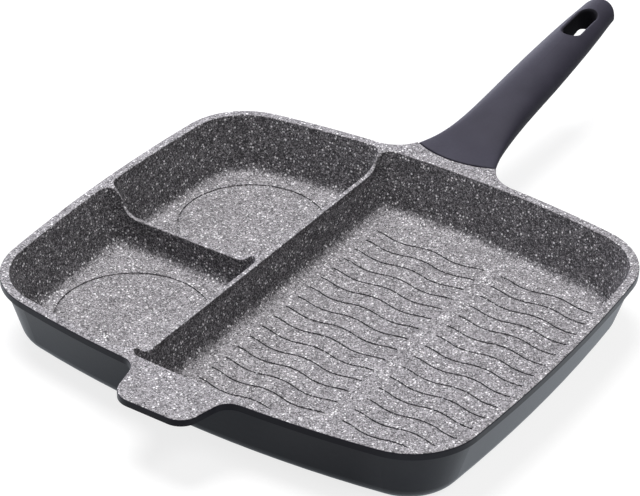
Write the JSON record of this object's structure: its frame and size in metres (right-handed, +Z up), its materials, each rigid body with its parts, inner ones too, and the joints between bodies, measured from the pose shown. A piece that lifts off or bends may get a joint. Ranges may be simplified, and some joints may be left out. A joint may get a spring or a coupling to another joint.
{
  "type": "divided frying pan",
  "caption": "Square cast frying pan with a wavy grill compartment, two ringed compartments, a front ear and one straight handle with a hanging slot.",
  "frame": {"origin": "middle of the flat base, on the surface the pan stands on, below the middle of the rim", "axes": "+Z up, +Y from the pan towards the end of the handle, +X towards the wide grill compartment"},
  "size_m": [0.299, 0.4756, 0.068],
  "materials": {
    "stone_coating": "speckled stone coating over cast aluminium, satin",
    "soft_touch": "soft-touch, matt",
    "steel": "plain turned"
  },
  "bodies": {
    "root": {"pan_body": "stone_coating", "handle": "soft_touch", "handle_screw": "steel", "handle_washer": "steel"}
  },
  "joints": []
}
